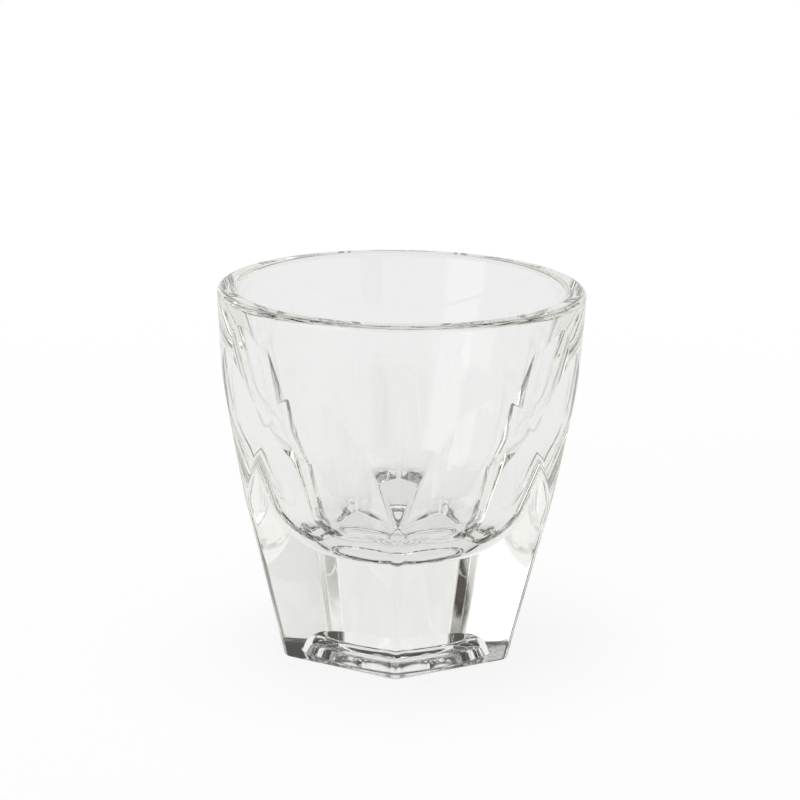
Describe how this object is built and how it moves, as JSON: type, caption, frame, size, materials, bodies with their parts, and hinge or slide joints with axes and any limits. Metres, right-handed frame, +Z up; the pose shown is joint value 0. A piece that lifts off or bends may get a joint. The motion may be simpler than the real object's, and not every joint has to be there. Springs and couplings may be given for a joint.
{
  "type": "cortado glass",
  "caption": "Heavy clear pressed-glass tumbler for small coffees: round tapered cup above, leaning flats with arched tops below, thick solid base with a round hollow underneath.",
  "frame": {"origin": "on the table, under the middle of the base", "axes": "+Z up along the glass's axis to the rim; an upright corner of the flats faces -Y, towards the viewer, and two flats face +X and -X"},
  "size_m": [0.076, 0.076, 0.0764],
  "materials": {
    "clear_glass": "fire-polished clear soda-lime glass"
  },
  "bodies": {
    "root": {"glass_tumbler": "clear_glass"}
  },
  "joints": []
}
